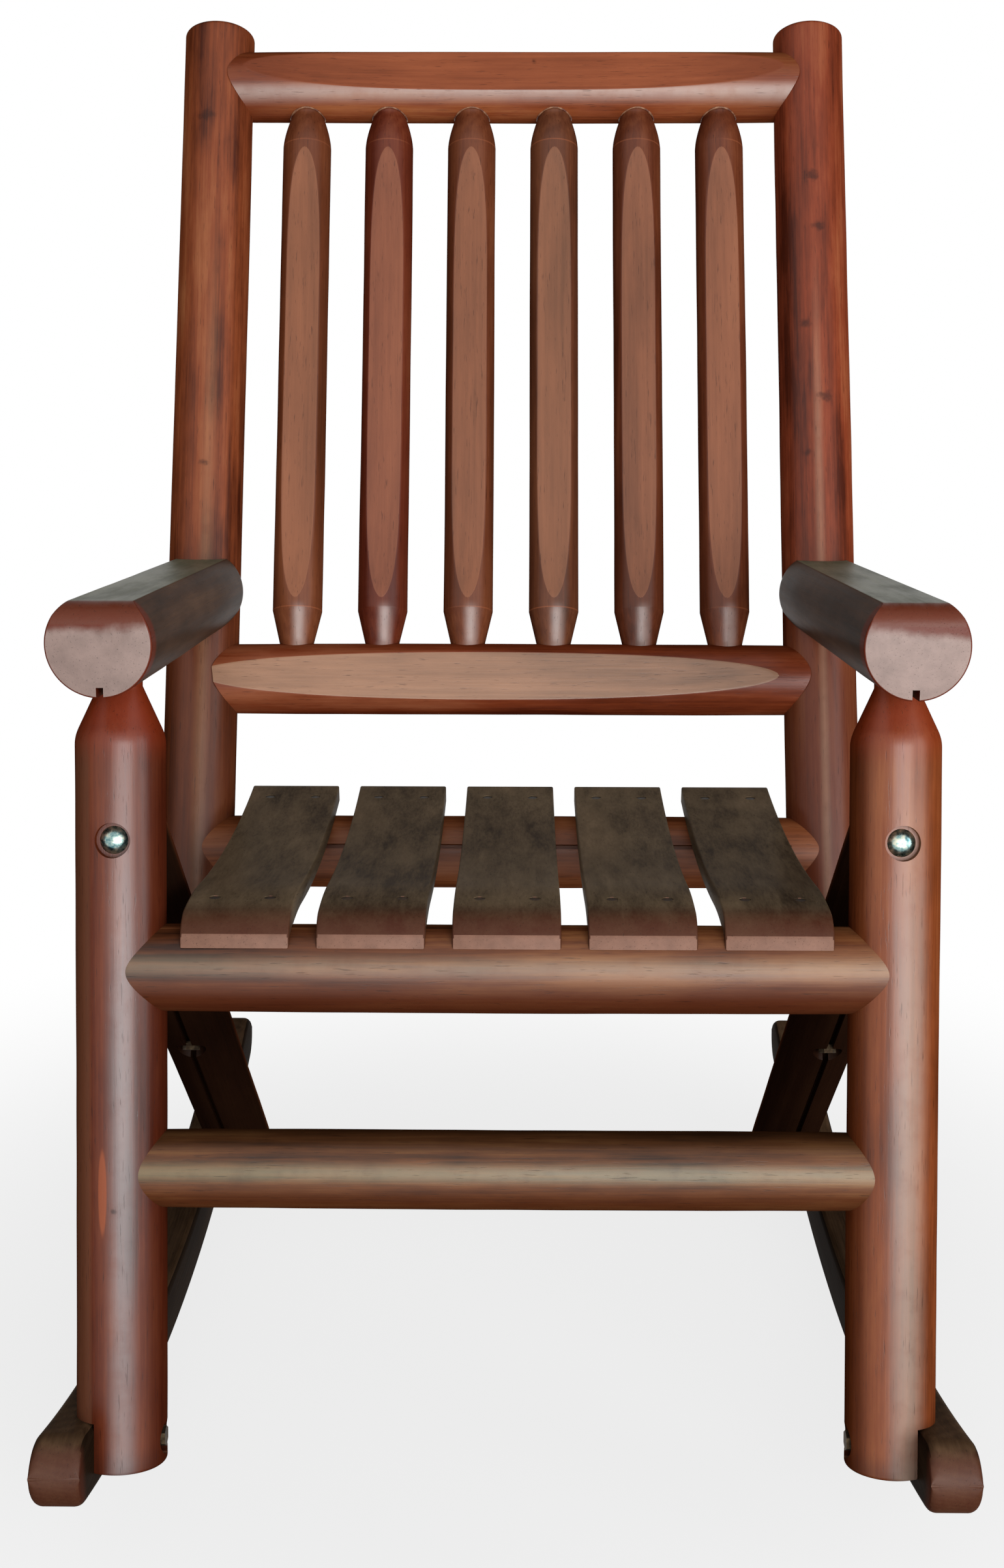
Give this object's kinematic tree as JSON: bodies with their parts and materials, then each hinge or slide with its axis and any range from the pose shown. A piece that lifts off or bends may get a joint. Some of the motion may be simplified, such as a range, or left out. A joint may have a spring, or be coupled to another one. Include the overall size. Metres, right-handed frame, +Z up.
{
  "type": "rocking chair",
  "caption": "Rocking chair of round peeled logs with armrests, a spindle back, a scooped slat seat and curved rocker boards.",
  "frame": {"origin": "on the floor, in the middle between the two places where the rockers touch it at rest", "axes": "+Z up, +Y to the rear of the chair, +X to the right of someone who looks at the chair's front; the sitter faces -Y"},
  "size_m": [0.665, 0.864, 1.1323],
  "materials": {
    "log": "stained red-brown, satin varnish",
    "arm_log": "stained dark brown, satin varnish",
    "seat_board": "stained dark brown, glossy varnish",
    "rocker_board": "stained brown, satin varnish",
    "zinc_steel": "zinc plated"
  },
  "bodies": {
    "root": {"front_leg_left": "log", "front_leg_right": "log", "arm_left": "arm_log", "arm_right": "arm_log", "back_post_left": "log", "back_post_right": "log", "stringer_left": "log", "stringer_right": "log", "rocker_left": "rocker_board", "rocker_right": "rocker_board", "seat_front_rail": "log", "seat_rear_rail": "log", "lower_stretcher": "log", "top_back_rail": "log", "lower_back_rail": "log", "spindle_1": "log", "spindle_2": "log", "spindle_3": "log", "spindle_4": "log", "spindle_5": "log", "spindle_6": "log", "seat_slat_1": "seat_board", "seat_slat_2": "seat_board", "seat_slat_3": "seat_board", "seat_slat_4": "seat_board", "seat_slat_5": "seat_board", "leg_carriage_bolts": "zinc_steel", "leg_cross_nuts": "zinc_steel", "rocker_carriage_bolts": "zinc_steel", "rocker_bolt_washers": "zinc_steel", "rocker_bolt_nuts": "zinc_steel", "post_lag_bolts": "zinc_steel", "post_lag_washers": "zinc_steel", "arm_lag_bolts": "zinc_steel", "arm_lag_washers": "zinc_steel", "slat_screws": "zinc_steel"}
  },
  "joints": []
}
